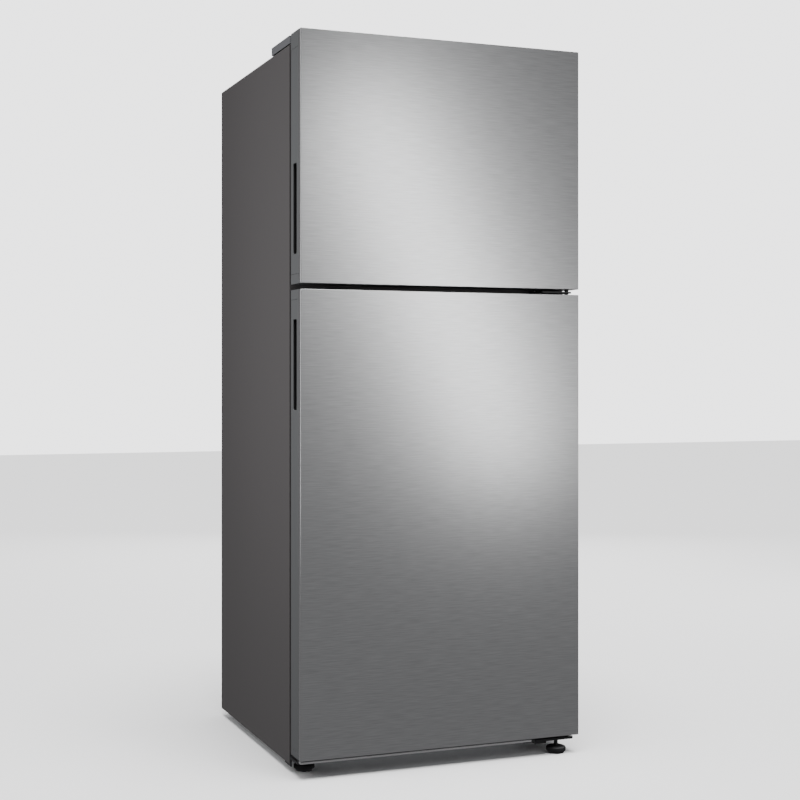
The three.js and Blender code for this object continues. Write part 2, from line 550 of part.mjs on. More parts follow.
// ---------------------------------------------------------------- freezer fittings
function freezerFittings(cabinet) {
  const coverY = [LINER_BACK - 62, LINER_BACK - 58];
  const fanZ = FREEZER_CEILING - 110;
  const cutY = [coverY[0] - 1, coverY[1] + 1];
  const outletPitch = 16;
  const outlets = [-3, -2, -1, 0, 1, 2, 3].map(
    (i) => box([i * outletPitch - 5, i * outletPitch + 5], cutY, [fanZ - 45, fanZ + 45]));
  const returnPitch = 60;
  const returns = [-3, -1, 1, 3].map(
    (i) => box([i * returnPitch - 40, i * returnPitch + 40], cutY, [FREEZER_FLOOR + 18, FREEZER_FLOOR + 26]));
  const coverBoard = box(
    [-INNER_HALF + 1, INNER_HALF - 1], coverY, [FREEZER_FLOOR + GAP, FREEZER_CEILING - GAP]);
  place(cabinet, 'evaporator_cover', 'white', cut(coverBoard, ...outlets, ...returns));

  const finY = [coverY[1] + 8, LINER_BACK - 6];
  const tubeY = [finY[0] + 18, finY[1] - 18];
  const evaporatorHalf = INNER_HALF - 60;
  const finPitch = (evaporatorHalf - 32) / 4;
  const tubePitch = 56;
  const fins = [];
  for (let i = -4; i <= 4; i += 1) {
    fins.push(box([i * finPitch - 1, i * finPitch + 1], finY, [FREEZER_FLOOR + 40, FREEZER_FLOOR + 210]));
  }
  for (let i = 0; i < 3; i += 1) {
    const z = FREEZER_FLOOR + 64 + i * tubePitch;
    fins.push(box([-evaporatorHalf, evaporatorHalf], tubeY, [z, z + 8]));
  }
  place(cabinet, 'evaporator', 'fin', join(...fins));
  fan(cabinet, 'evaporator_fan', 'y', [0, coverY[1] + 20, fanZ], 50, 12);
  place(cabinet, 'evaporator_fan_motor', 'black', join(
    rod('y', [0, fanZ], 16, [coverY[1] + 30, LINER_BACK - 5], 16),
    box([-50, 50], [LINER_BACK - 8, LINER_BACK - 5], [fanZ - 8, fanZ + 8])));

  place(cabinet, 'freezer_shelf', 'glass', shelf(FREEZER_SHELF_HEIGHT, coverY[0] - 6));

  const makerX = [-INNER_HALF + 14, -INNER_HALF + 154];
  const makerY = [SHELF_Y + 4, coverY[0] - 50];
  const makerZ = [FREEZER_FLOOR + GAP, FREEZER_FLOOR + 168];
  const axisX = (makerX[0] + makerX[1]) / 2;
  const axisZ = makerZ[1] - 28;
  const wall = 3;
  place(cabinet, 'ice_maker_frame', 'white', cut(
    box(makerX, makerY, makerZ),
    box([makerX[0] + wall, makerX[1] - wall], [makerY[0] + wall, makerY[1] - wall],
      [makerZ[0] - 1, makerZ[1] + 1]),
    box([makerX[0] + wall, makerX[1] - wall], [makerY[0] - 1, makerY[0] + wall + 1],
      [makerZ[0] - 1, axisZ - 50]),
    rod('y', [axisX, axisZ], 6 + BORE_CLEARANCE, [makerY[0] - 1, makerY[1] + 1], 24)));

  const tray = new THREE.Group();
  tray.position.set(axisX, 0, axisZ);
  const trayY = [makerY[0] + wall + 3, makerY[1] - wall - 3];
  place(tray, 'ice_tray', 'clear', join(
    cut(box([-52, 52], trayY, [-21, 12]), box([-49, 49], [trayY[0] + 6, trayY[1] - 6], [-18, 13])),
    rod('y', [0, 0], 6, [makerY[0] - 4, trayY[0] + 3], 24),
    rod('y', [0, 0], 6, [trayY[1] - 3, makerY[1] + 4], 24),
    rod('y', [0, 0], 15, [makerY[0] - 12, makerY[0] - 3], 20),
    box([-3, 3], [makerY[0] - 24, makerY[0] - 11], [-15, 15])));
  cabinet.add(tray);

  const binTop = axisZ - 56;
  place(cabinet, 'ice_bin', 'clear', openTray(
    [makerX[0] + wall + SLIDE, makerX[1] - wall - SLIDE], [makerY[0], makerY[1] - wall - SLIDE],
    [FREEZER_FLOOR + 2, binTop], DRAWER_WALL, 8));
}

/** A glass shelf: a pane in a moulded rim, here one plate with a deeper front edge. */
function shelf(height, back) {
  const half = INNER_HALF - 3;
  return join(
    box([-half, half], [SHELF_Y, back], [height, height + 5]),
    box([-half, half], [SHELF_Y, SHELF_Y + 16], [height - 6, height + SHELF_THICKNESS - 4]),
    box([-half, half], [back - 8, back], [height, height + SHELF_THICKNESS]));
}

/** An open tray with rounded upright corners. */
function openTray([x0, x1], [y0, y1], [z0, z1], wall, radius) {
  const corners = [radius, radius, radius, radius];
  const inner = corners.map((r) => Math.max(r - wall, 0.5));
  return cut(
    prism(rounded([x0, x1], [y0, y1], corners), 'z', [z0, z1]),
    prism(rounded([x0 + wall, x1 - wall], [y0 + wall, y1 - wall], inner), 'z', [z0 + wall, z1 + 1]));
}

// ---------------------------------------------------------------- fridge fittings
function fridgeFittings(cabinet) {
  const ductY = [LINER_BACK - 14, LINER_BACK - GAP];
  const ductZ = [CRISPER_COVER_HEIGHT + 40, FRIDGE_CEILING - 6];
  const ductHalf = 115;
  const ductWall = 3;
  const ventShares = [0.08, 0.4, 0.74, 0.91];
  const vents = ventShares.flatMap((share) => [-60, 60].map((x) => {
    const z = ductZ[0] + share * (ductZ[1] - ductZ[0]);
    return box([x - 30, x + 30], [ductY[0] - 1, ductY[0] + ductWall + 1], [z, z + 8]);
  }));
  place(cabinet, 'air_duct', 'white', cut(
    box([-ductHalf, ductHalf], ductY, ductZ),
    box([-ductHalf + ductWall, ductHalf - ductWall], [ductY[0] + ductWall, ductY[1] + 1],
      [ductZ[0] + ductWall, ductZ[1] - ductWall]),
    ...vents));

  const boxZ = [FRIDGE_CEILING - 30, FRIDGE_CEILING - GAP];
  const boxY = [SHELF_Y + 8, SHELF_Y + 178];
  const boxHalf = 130;
  const boxWall = 3;
  const knobX = -70;
  const knobZ = (boxZ[0] + boxZ[1]) / 2;
  const spindle = 4;
  place(cabinet, 'control_box', 'white', cut(
    box([-boxHalf, boxHalf], boxY, boxZ),
    box([-boxHalf + boxWall, boxHalf - boxWall], [boxY[0] + boxWall, boxY[1] - boxWall],
      [boxZ[0] + boxWall, boxZ[1] + 1]),
    rod('y', [knobX, knobZ], spindle + BORE_CLEARANCE, [boxY[0] - 1, boxY[0] + boxWall + 1])));
  place(cabinet, 'temperature_knob', 'coverGrey', join(
    rod('y', [knobX, knobZ], 12, [boxY[0] - 10, boxY[0] - 1], 24),
    rod('y', [knobX, knobZ], spindle, [boxY[0] - 2, boxY[0] + 8], 24),
    box([knobX - 1.5, knobX + 1.5], [boxY[0] - 13, boxY[0] - 9], [knobZ - 11, knobZ + 11])));

  const shelfBack = ductY[0] - 4;
  place(cabinet, 'fridge_shelf_upper', 'glass', shelf(UPPER_SHELF_HEIGHT, shelfBack));
  place(cabinet, 'fridge_shelf_lower', 'glass', shelf(LOWER_SHELF_HEIGHT, shelfBack));
  place(cabinet, 'crisper_cover', 'glass', shelf(CRISPER_COVER_HEIGHT, shelfBack));

  const crisperHalf = INNER_HALF - CRISPER_SHOULDER - SLIDE;
  const crisperZ = [FRIDGE_FLOOR + 1, CRISPER_COVER_HEIGHT - 8];
  const crisperY = [SHELF_Y, HUMP_FRONT - 3];
  const pullHalf = 50;
  const pullZ = [crisperZ[1] - 30, crisperZ[1] - 8];
  const drawer = (name, span) => {
    const middle = (span[0] + span[1]) / 2;
    const pull = cut(
      box([middle - pullHalf, middle + pullHalf], [crisperY[0] - 10, crisperY[0] + 1], pullZ),
      box([middle - pullHalf + 3, middle + pullHalf - 3], [crisperY[0] - 7, crisperY[0]],
        [pullZ[0] - 1, pullZ[1] - 4]));
    place(cabinet, name, 'clear', join(openTray(span, crisperY, crisperZ, DRAWER_WALL, 10), pull));
  };
  drawer('crisper_left', [-crisperHalf, -SLIDE]);
  drawer('crisper_right', [SLIDE, crisperHalf]);
}

// ---------------------------------------------------------------- doors
/**
 * One door in its own frame: the hinge axis at x = 0 and y = 0, the door's bottom edge at z = 0.
 * bins gives each bin's bottom, height and reach behind the hinge axis.
 */
function door(group, name, { height, stripHeight, slotBottom, gasketZ, dikeZ, bins, topPocket }) {
  const left = PIN_FROM_SIDE - WIDTH;
  const right = PIN_FROM_SIDE;
  const front = -PIN_FROM_FRONT;
  const back = front + DOOR_THICKNESS;
  const returnY = front + FRONT_RETURN;

  const planFront = (inset) => rounded(
    [left + inset, right - inset], [front + inset, returnY + (inset ? 1 : 0)],
    [DOOR_EDGE_RADIUS - inset, DOOR_EDGE_RADIUS - inset, 0, 0]);
  place(group, `${name}_front_panel`, 'brushed', cut(
    prism(planFront(0), 'z', [stripHeight, height]),
    prism(planFront(SHEET), 'z', [stripHeight + SHEET, height - SHEET])));

  const trimFront = returnY + GAP;
  const topCapBottom = height - Math.max(CAP_HEIGHT, topPocket + PIN_LENGTH + 3);
  const trimZ = [CAP_HEIGHT + GAP, topCapBottom - GAP];
  const slotZ = [slotBottom, slotBottom + HANDLE_SLOT_LENGTH];
  const slotY = [front + HANDLE_SLOT_DEPTH, front + HANDLE_SLOT_DEPTH + HANDLE_SLOT_WIDTH];
  const channel = (outerX, innerX, low, high) => cut(
    box([low, high], [trimFront, back], trimZ),
    box([outerX, innerX], [trimFront + TRIM_WALL, back - TRIM_WALL], [0, height]));
  const slot = prism(rounded(slotY, slotZ, [4, 4, 4, 4]), 'x', [left - 1, left + TRIM_WALL + 1]);
  place(group, `${name}_handle_trim`, 'doorSide', cut(
    channel(left + TRIM_WALL, left + TRIM_WIDTH + 1, left, left + TRIM_WIDTH), slot));
  place(group, `${name}_hinge_trim`, 'doorSide', channel(
    right - TRIM_WIDTH - 1, right - TRIM_WALL, right - TRIM_WIDTH, right));

  const cup = 2;
  const cupX = [left + TRIM_WALL + GAP, left + HANDLE_POCKET_REACH];
  const grip = (grow, x0) => join(
    box([x0, cupX[1] - cup + grow], [slotY[0] - grow, slotY[1] + grow],
      [slotZ[0] - grow, slotZ[1] + grow]),
    box([cupX[0] + 10 - grow, cupX[1] - cup + grow], [slotY[0] - HANDLE_UNDERCUT - grow, slotY[1] + grow],
      [slotZ[0] - grow, slotZ[1] + grow]));
  place(group, `${name}_handle_pocket`, 'black', cut(grip(cup, cupX[0]), grip(0, cupX[0] - 1)));

  const capBody = (z0, z1, lipZ0, lipZ1) => join(
    box([left, right], [trimFront, back], [z0, z1]),
    box([left + SHEET + GAP, right - SHEET - GAP], [front + DOOR_EDGE_RADIUS + 1, trimFront + 1],
      [lipZ0, lipZ1]));
  const bore = (z0, z1) => rod('z', [0, 0], PIN_RADIUS + PIN_CLEARANCE, [z0, z1], 24);
  const panLip = SHEET + GAP;
  const topParts = [
    capBody(topCapBottom, height, topCapBottom, height - panLip),
    bore(height - topPocket - PIN_LENGTH - 1, height + 1)];
  if (topPocket) {
    topParts.push(box([-PIN_FROM_SIDE, right + 1], [front + DOOR_EDGE_RADIUS + 2, back + 1],
      [height - topPocket, height + 1]));
  }
  place(group, `${name}_top_cap`, 'doorSide', cut(...topParts));

  const capBottom = stripHeight ? stripHeight - GAP : 0;
  const bottomSolids = [capBody(capBottom, CAP_HEIGHT, stripHeight + panLip, CAP_HEIGHT)];
  const bottomCuts = [bore(-1, CAP_HEIGHT - 5)];
  if (stripHeight) {
    bottomSolids.push(box([left, right - STRIP_END], [front + 2, trimFront + STRIP_LIP], [0, stripHeight]));
    bottomCuts.push(box([left - 1, right + 1], [front - 1, trimFront - GAP],
      [capBottom, stripHeight + panLip]));
  }
  const bottomCap = cut(join(...bottomSolids), ...bottomCuts);
  place(group, `${name}_bottom_cap`, stripHeight ? 'stripGrey' : 'doorSide', bottomCap);

  const linerX = [left + TRIM_WIDTH + GAP, right - TRIM_WIDTH - GAP];
  const plateY = [back - LINER, back];
  const wallInset = SIDE_WALL + DIKE_SIDE_CLEARANCE;
  const dikeX = [left + wallInset, right - wallInset];
  const dikeBack = back + DIKE_DEPTH;
  const inner = DIKE_WIDTH;
  const w = LINER;
  const rimOuter = box(dikeX, [plateY[0], dikeBack], dikeZ);
  const rimHollow = box([dikeX[0] + w, dikeX[1] - w], [plateY[0] - 1, dikeBack - w],
    [dikeZ[0] + w, dikeZ[1] - w]);
  const wellOuter = box([dikeX[0] + inner - w, dikeX[1] - inner + w], [plateY[0], dikeBack],
    [dikeZ[0] + inner - w, dikeZ[1] - inner + w]);
  const wellInner = box([dikeX[0] + inner, dikeX[1] - inner], [back, dikeBack + 1],
    [dikeZ[0] + inner, dikeZ[1] - inner]);
  const plate = cut(box(linerX, plateY, trimZ), rimHollow);
  const liner = cut(join(cut(rimOuter, rimHollow), wellOuter, plate), wellInner);
  place(group, `${name}_liner`, 'white', liner);

  const sealX = [left + GASKET_SIDE_INSET, right - GASKET_SIDE_INSET];
  const sealY = [back + GAP, back + DOOR_STANDOFF - GAP];
  const g = GASKET_WIDTH;
  place(group, `${name}_gasket`, 'gasket', cut(
    box(sealX, sealY, gasketZ),
    box([sealX[0] + g, sealX[1] - g], [sealY[0] - 1, sealY[1] + 1], [gasketZ[0] + g, gasketZ[1] - g])));

  const binX = [dikeX[0] + inner + SLIDE, dikeX[1] - inner - SLIDE];
  for (const [binName, bottom, tall, reach] of bins) {
    const binY = [back + GAP * 2, reach];
    place(group, binName, 'clear', openTray(binX, binY, [bottom, bottom + tall], BIN_WALL, 9));
  }
}

// ---------------------------------------------------------------- the whole object
const refrigerator = new THREE.Group();
cabinetShell(refrigerator);
linersAndFoam(refrigerator);
hardware(refrigerator);
machineCompartment(refrigerator);
freezerFittings(refrigerator);
fridgeFittings(refrigerator);

const freezerDoor = new THREE.Group();
freezerDoor.position.set(PIN_X, PIN_Y, FREEZER_DOOR_BOTTOM);
const freezerHeight = HEIGHT - FREEZER_DOOR_BOTTOM;
door(freezerDoor, 'freezer_door', {
  height: freezerHeight,
  stripHeight: 0,
  slotBottom: FREEZER_HANDLE_RISE,
  gasketZ: [
    FREEZER_FLOOR - LINER - 1 - GASKET_WIDTH - FREEZER_DOOR_BOTTOM,
    FREEZER_CEILING + 36 - FREEZER_DOOR_BOTTOM],
  dikeZ: [
    FREEZER_FLOOR + DIKE_END_CLEARANCE - FREEZER_DOOR_BOTTOM,
    FREEZER_CEILING - DIKE_END_CLEARANCE - FREEZER_DOOR_BOTTOM],
  bins: [
    ['freezer_bin_lower', 72, 110, BIN_REACH - 15],
    ['freezer_bin_upper', Math.round(freezerHeight * 0.5254), 100, BIN_REACH - 15],
  ],
  topPocket: TOP_POCKET,
});
refrigerator.add(freezerDoor);

const fridgeDoor = new THREE.Group();
fridgeDoor.position.set(PIN_X, PIN_Y, FRIDGE_DOOR_BOTTOM);
const fridgeHeight = FRIDGE_DOOR_TOP - FRIDGE_DOOR_BOTTOM;
door(fridgeDoor, 'fridge_door', {
  height: fridgeHeight,
  stripHeight: STRIP_HEIGHT,
  slotBottom: fridgeHeight - FRIDGE_HANDLE_DROP - HANDLE_SLOT_LENGTH,
  gasketZ: [
    FRIDGE_FLOOR - LINER - GASKET_WIDTH - 14 - FRIDGE_DOOR_BOTTOM,
    FRIDGE_CEILING + LINER + 2 + GASKET_WIDTH - FRIDGE_DOOR_BOTTOM],
  dikeZ: [
    FRIDGE_FLOOR + DIKE_END_CLEARANCE - FRIDGE_DOOR_BOTTOM,
    FRIDGE_CEILING - DIKE_END_CLEARANCE - FRIDGE_DOOR_BOTTOM],
  bins: [
    ['fridge_bin_lower', 110, 130, BIN_REACH],
    ['fridge_bin_middle', Math.round(fridgeHeight * 0.4042), 110, BIN_REACH - 25],
    ['fridge_bin_upper', Math.round(fridgeHeight * 0.6767), 100, BIN_REACH - 25],
  ],
  topPocket: 0,
});
refrigerator.add(fridgeDoor);

export default refrigerator;
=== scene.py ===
"""A top freezer refrigerator with brushed steel doors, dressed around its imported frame."""
import math

import bpy
import numpy as np
from mathutils import Matrix, Vector


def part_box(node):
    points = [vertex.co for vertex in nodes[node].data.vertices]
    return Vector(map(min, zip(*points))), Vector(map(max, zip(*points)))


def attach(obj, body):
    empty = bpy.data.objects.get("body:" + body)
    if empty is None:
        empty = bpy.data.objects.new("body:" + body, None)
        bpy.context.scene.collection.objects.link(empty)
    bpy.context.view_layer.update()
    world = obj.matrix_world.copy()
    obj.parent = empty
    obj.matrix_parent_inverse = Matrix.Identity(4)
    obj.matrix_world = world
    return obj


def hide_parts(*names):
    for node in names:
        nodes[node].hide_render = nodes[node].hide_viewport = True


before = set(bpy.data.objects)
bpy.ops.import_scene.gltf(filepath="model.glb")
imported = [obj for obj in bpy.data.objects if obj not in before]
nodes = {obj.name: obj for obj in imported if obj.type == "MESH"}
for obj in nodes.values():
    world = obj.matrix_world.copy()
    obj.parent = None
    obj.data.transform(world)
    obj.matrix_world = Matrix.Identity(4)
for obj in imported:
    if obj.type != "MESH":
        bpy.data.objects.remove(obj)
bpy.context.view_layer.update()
scene = bpy.context.scene


# The camera stands to the left of the doors at a little over half their height, held level and aimed
# to the right, so that upright edges stay upright.
camera_data = bpy.data.cameras.new("camera")
camera_data.lens = 66.52
camera_data.sensor_width = 36
camera_data.shift_y = -0.02937
camera = bpy.data.objects.new("camera", camera_data)
camera.location = (-1.3468, -3.504, 0.9049)
camera.rotation_euler = (math.radians(90), 0, math.radians(-21.385))
scene.collection.objects.link(camera)
scene.camera = camera


# The floor is one pale plane with no wall, so the object can be seen from all sides.
# The steel doors mirror the soft grey room and the painted side takes its light from the lamps alone.
def mesh_object(name, points, faces, smooth=False):
    """A mesh object from an array of points and a list of faces."""
    mesh = bpy.data.meshes.new(name)
    mesh.from_pydata(np.asarray(points, float).tolist(), [], faces)
    mesh.polygons.foreach_set("use_smooth", np.full(len(mesh.polygons), smooth))
    mesh.update()
    made = bpy.data.objects.new(name, mesh)
    scene.collection.objects.link(made)
    return made


def node_material(name, color, roughness, metallic=0.0):
    """A material with one Principled shader; returns (material, tree, shader)."""
    material = bpy.data.materials.new(name)
    material.use_nodes = True
    shader = material.node_tree.nodes["Principled BSDF"]
    shader.inputs["Base Color"].default_value = (*color, 1)
    shader.inputs["Roughness"].default_value = roughness
    shader.inputs["Metallic"].default_value = metallic
    return material, material.node_tree, shader


floor_half = 14
floor_points = [(-floor_half, -floor_half, 0), (floor_half, -floor_half, 0),
                (floor_half, floor_half, 0), (-floor_half, floor_half, 0)]
floor = mesh_object("studio_floor", floor_points, [(0, 1, 2, 3)])
floor_material = node_material("pale_floor", (0.9, 0.9, 0.905), 0.7)[0]
floor.data.materials.append(floor_material)
floor.visible_glossy = False
floor.visible_diffuse = False

world = bpy.data.worlds.new("studio_room")
scene.world = world
world.use_nodes = True
room = world.node_tree
room.nodes.clear()
room_out = room.nodes.new("ShaderNodeOutputWorld")
room_seen = room.nodes.new("ShaderNodeBackground")
room_seen.inputs["Color"].default_value = (0.93, 0.93, 0.94, 1)
room_seen.inputs["Strength"].default_value = 3.2
room_light = room.nodes.new("ShaderNodeBackground")
room_light.inputs["Color"].default_value = (0.98, 0.98, 1.0, 1)
room_light.inputs["Strength"].default_value = 0.195
room_rays = room.nodes.new("ShaderNodeLightPath")
room_mix = room.nodes.new("ShaderNodeMixShader")
room.links.new(room_rays.outputs["Is Camera Ray"], room_mix.inputs[0])
room.links.new(room_light.outputs[0], room_mix.inputs[1])
room.links.new(room_seen.outputs[0], room_mix.inputs[2])
room.links.new(room_mix.outputs[0], room_out.inputs["Surface"])


# Studio light: a tall, leaning strip to the right that the steel fronts mirror, a soft box close to the
# painted left side, wide ones to the right and behind, and an even light above that keeps the floor pale.
def soft_box(name, place, aim, size, power, lean=0.0):
    """A rectangular area light at one point that faces another, leaning by an angle in degrees."""
    data = bpy.data.lights.new(name, "AREA")
    data.shape = "RECTANGLE"
    data.size, data.size_y = size
    data.energy = power
    light = bpy.data.objects.new(name, data)
    scene.collection.objects.link(light)
    light.visible_camera = False
    facing = (Vector(aim) - Vector(place)).to_track_quat("-Z", "Y").to_matrix()
    light.location = place
    light.rotation_euler = (facing @ Matrix.Rotation(math.radians(lean), 3, "Z")).to_euler()
    return light


soft_box("door_strip", (0.73, -2.153, 1.25), (0.73, 0, 1.25), (0.18, 1.5), 8.6, lean=23.5)
soft_box("side_box", (-1.35, -0.3, 1.2), (-0.35, -0.3, 1.2), (0.6, 1.5), 9.2)
soft_box("right_box", (3.4, 0.4, 1.3), (0.35, 0, 1.0), (2.4, 2.4), 40)
soft_box("rear_box", (1.5, 3.8, 2.2), (0, 0.3, 0.9), (3.4, 3.0), 60)
overhead = bpy.data.lights.new("overhead", "SUN")
overhead.energy = 6.0
overhead.angle = 0.7
overhead_light = bpy.data.objects.new("overhead", overhead)
overhead_light.rotation_euler = (math.radians(12), 0, 0)
scene.collection.objects.link(overhead_light)


# Each door's front is one sheet of brushed stainless steel, 1 mm thick, with its upright edges rolled
# over and folded back 14 mm round the door. The grain runs across the door.
def carried(name, across, along, radii, profile, axis="z", steps=6, loop=False, ribs=None):
    """A profile carried round a rectangle with round corners.

    across and along are the rectangle's two spans, radii its corner radii from the low corner on, and
    profile an array of (inset, height) pairs. At each pair the rectangle shrinks by the inset, and a
    corner's radius by the same, down to almost nothing: point = corner centre + radius * direction.
    ribs, if given, is a count and a depth for each pair: depth * cos(count * angle) is added outward.
    axis says which way the height runs. The ends are closed with flat faces unless the profile loops."""
    profile = np.array(profile, float)
    inset, height = profile[:, 0], profile[:, 1]
    centre = np.array([sum(across) / 2, sum(along) / 2])
    half = np.array([across[1] - across[0], along[1] - along[0]]) / 2
    signs = np.array([(-1, -1), (1, -1), (1, 1), (-1, 1)], float)
    radii = np.broadcast_to(np.array(radii, float), (4,))
    turn = np.linspace(0, math.pi / 2, steps)
    start = np.array([math.pi, 1.5 * math.pi, 0, 0.5 * math.pi])
    angle = (start[:, None] + turn[None, :]).ravel()
    direction = np.stack([np.cos(angle), np.sin(angle)], 1)
    sign = np.repeat(signs, steps, 0)
    radius = np.maximum(np.repeat(radii, steps)[:, None] - inset[None, :], 2e-5)
    reach = half[None, :, None] - inset[None, None, :]
    flat = centre[None, :, None] + sign[:, :, None] * (reach - radius[:, None, :])
    flat = flat + radius[:, None, :] * direction[:, :, None]
    if ribs:
        wave = np.cos(ribs[0] * angle)[:, None] * np.array(ribs[1])[None, :]
        flat = flat + wave[:, None, :] * direction[:, :, None]
    rings, count = len(inset), len(angle)
    u, v = flat[:, 0, :].T.ravel(), flat[:, 1, :].T.ravel()
    w = np.repeat(height, count)
    points = {"z": (u, v, w), "x": (w, u, v), "y": (v, w, u)}[axis]
    j = np.arange(rings if loop else rings - 1)
    i = np.arange(count)
    jj, ii = np.meshgrid(j, i, indexing="ij")
    nj, ni = (jj + 1) % rings, (ii + 1) % count
    faces = np.stack([jj * count + ii, jj * count + ni, nj * count + ni, nj * count + ii], -1)
    faces = faces.reshape(-1, 4).tolist()
    if not loop:
        faces.append(list(range(count))[::-1])
        faces.append(list(range((rings - 1) * count, rings * count)))
    made = mesh_object(name, np.stack(points, 1), faces, True)
    made.data.validate()
    level = made.modifiers.new("level_normals", "WEIGHTED_NORMAL")
    level.keep_sharp = True
    return made


def softened(low, high, edge, steps=4):
    """The profile of a block: straight sides with a quarter circle at each end."""
    turn = np.linspace(0, math.pi / 2, steps)
    inset = edge * (1 - np.sin(turn))
    foot = np.stack([inset, low + edge * (1 - np.cos(turn))], 1)
    head = np.stack([inset[::-1], high - edge * (1 - np.cos(turn[::-1]))], 1)
    return np.concatenate([foot, head])


def block(name, low, high, radii=0.001, edge=0.0008, axis="z", steps=5):
    """A box between two corners with round upright corners and softened ends."""
    order = {"z": (0, 1, 2), "x": (1, 2, 0), "y": (2, 0, 1)}[axis]
    (u0, v0, w0), (u1, v1, w1) = [[corner[k] for k in order] for corner in (low, high)]
    radii = np.maximum(np.broadcast_to(np.array(radii, float), (4,)), edge * 1.05)
    return carried(name, (u0, u1), (v0, v1), radii, softened(w0, w1, edge), axis, steps)


def joined(name, *pieces):
    """Several pieces made one mesh."""
    bpy.ops.object.select_all(action="DESELECT")
    for piece in pieces:
        piece.select_set(True)
    bpy.context.view_layer.objects.active = pieces[0]
    bpy.ops.object.join()
    pieces[0].name = name
    return pieces[0]


def settle(piece, material, body, slot, *replaced):
    """Gives a piece its material and body, and hides the CAD nodes that it stands for. slot is not used."""
    piece.data.materials.clear()
    piece.data.materials.append(material)
    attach(piece, body)
    if replaced:
        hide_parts(*replaced)


def grain(tree, shader, scale, depth, rough, tone=None, detail=3):
    """Stretched noise on Object coordinates for bump, roughness and, if asked, tone.

    scale is the noise's frequency along x, y and z, in lines a metre."""
    place = tree.nodes.new("ShaderNodeTexCoord")
    mapping = tree.nodes.new("ShaderNodeMapping")
    mapping.inputs["Scale"].default_value = scale
    noise = tree.nodes.new("ShaderNodeTexNoise")
    noise.inputs["Scale"].default_value = 1
    noise.inputs["Detail"].default_value = detail
    tree.links.new(place.outputs["Object"], mapping.inputs["Vector"])
    tree.links.new(mapping.outputs["Vector"], noise.inputs["Vector"])
    if depth:
        bump = tree.nodes.new("ShaderNodeBump")
        bump.inputs["Strength"].default_value = 0.6
        bump.inputs["Distance"].default_value = depth
        tree.links.new(noise.outputs["Fac"], bump.inputs["Height"])
        if shader.inputs["Normal"].is_linked:
            tree.links.new(shader.inputs["Normal"].links[0].from_socket, bump.inputs["Normal"])
        tree.links.new(bump.outputs["Normal"], shader.inputs["Normal"])
    if rough:
        span = tree.nodes.new("ShaderNodeMapRange")
        span.inputs["To Min"].default_value, span.inputs["To Max"].default_value = rough
        tree.links.new(noise.outputs["Fac"], span.inputs["Value"])
        tree.links.new(span.outputs["Result"], shader.inputs["Roughness"])
    if tone:
        ramp = tree.nodes.new("ShaderNodeValToRGB")
        ramp.color_ramp.elements[0].color = (*tone[0], 1)
        ramp.color_ramp.elements[1].color = (*tone[1], 1)
        ramp.color_ramp.elements[0].position = 0.3
        ramp.color_ramp.elements[1].position = 0.7
        tree.links.new(noise.outputs["Fac"], ramp.inputs["Fac"])
        tree.links.new(ramp.outputs["Color"], shader.inputs["Base Color"])


steel, steel_tree, steel_shader = node_material("brushed_stainless", (0.6, 0.6, 0.605), 0.34, 1.0)
brushed_tones = ((0.535, 0.539, 0.544), (0.650, 0.654, 0.659))
grain(steel_tree, steel_shader, (20, 20, 420), 0, (0.277, 0.300), brushed_tones)
grain(steel_tree, steel_shader, (12, 12, 3200), 0.000005, None)

DOORS = ("freezer_door", "fridge_door")
fold_radius = 0.0018
square_corner = 0.0004
for door in DOORS:
    low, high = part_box(f"{door}_front_panel")
    corners = (fold_radius, fold_radius, square_corner, square_corner)
    panel = block(f"{door}_steel_front", low, high, corners, 0.0012, steps=9)
    settle(panel, steel, door, "brushed_steel", f"{door}_front_panel")


# The cabinet is one U of pre-painted steel sheet folded over the top and down both sides, with its
# front edges turned in round the door openings. The paint is a dark warm grey with a fine texture.
cabinet_paint, paint_tree, paint_shader = node_material("cabinet_grey_paint", (0.107, 0.100, 0.101), 0.48)
paint_shader.inputs["Specular IOR Level"].default_value = 0.3
paint_tones = ((0.102, 0.095, 0.096), (0.112, 0.105, 0.106))
grain(paint_tree, paint_shader, (900, 900, 900), 0.00004, (0.42, 0.54), paint_tones)


def keep(node, material, bevel=0.0, segments=2):
    """A CAD node that stays: its loose triangles are welded and its sharp edges softened."""
    part = nodes[node]
    part.data.materials.clear()
    part.data.materials.append(material)
    if bevel:
        weld = part.modifiers.new("weld", "WELD")
        weld.merge_threshold = 1e-5
        soften = part.modifiers.new("soften", "BEVEL")
        soften.width = bevel
        soften.segments = segments
        soften.limit_method = "ANGLE"
        soften.angle_limit = math.radians(40)
        soften.harden_normals = True


keep("outer_shell", cabinet_paint, 0.0004)
keep("centre_rail", cabinet_paint)


# Each door's sides are grey trims that run between its end caps. The handle side has a slot, and a
# black moulded cup behind it reaches forward under the steel, where the fingers pull.
door_grey, grey_tree, grey_shader = node_material("door_side_paint", (0.128, 0.132, 0.136), 0.42)
grey_tones = ((0.124, 0.128, 0.132), (0.133, 0.137, 0.141))
grain(grey_tree, grey_shader, (1100, 1100, 1100), 0.00003, (0.38, 0.48), grey_tones)
black_plastic, black_tree, black_shader = node_material("black_moulding", (0.012, 0.012, 0.013), 0.5)
grain(black_tree, black_shader, (1500, 1500, 1500), 0.00003, (0.42, 0.6), None)
for door in DOORS:
    keep(f"{door}_handle_trim", door_grey, 0.0008)
    keep(f"{door}_hinge_trim", door_grey, 0.0008)
    keep(f"{door}_handle_pocket", black_plastic, 0.0006)
    keep(f"{door}_top_cap", door_grey, 0.0008)
keep("freezer_door_bottom_cap", door_grey, 0.0008)


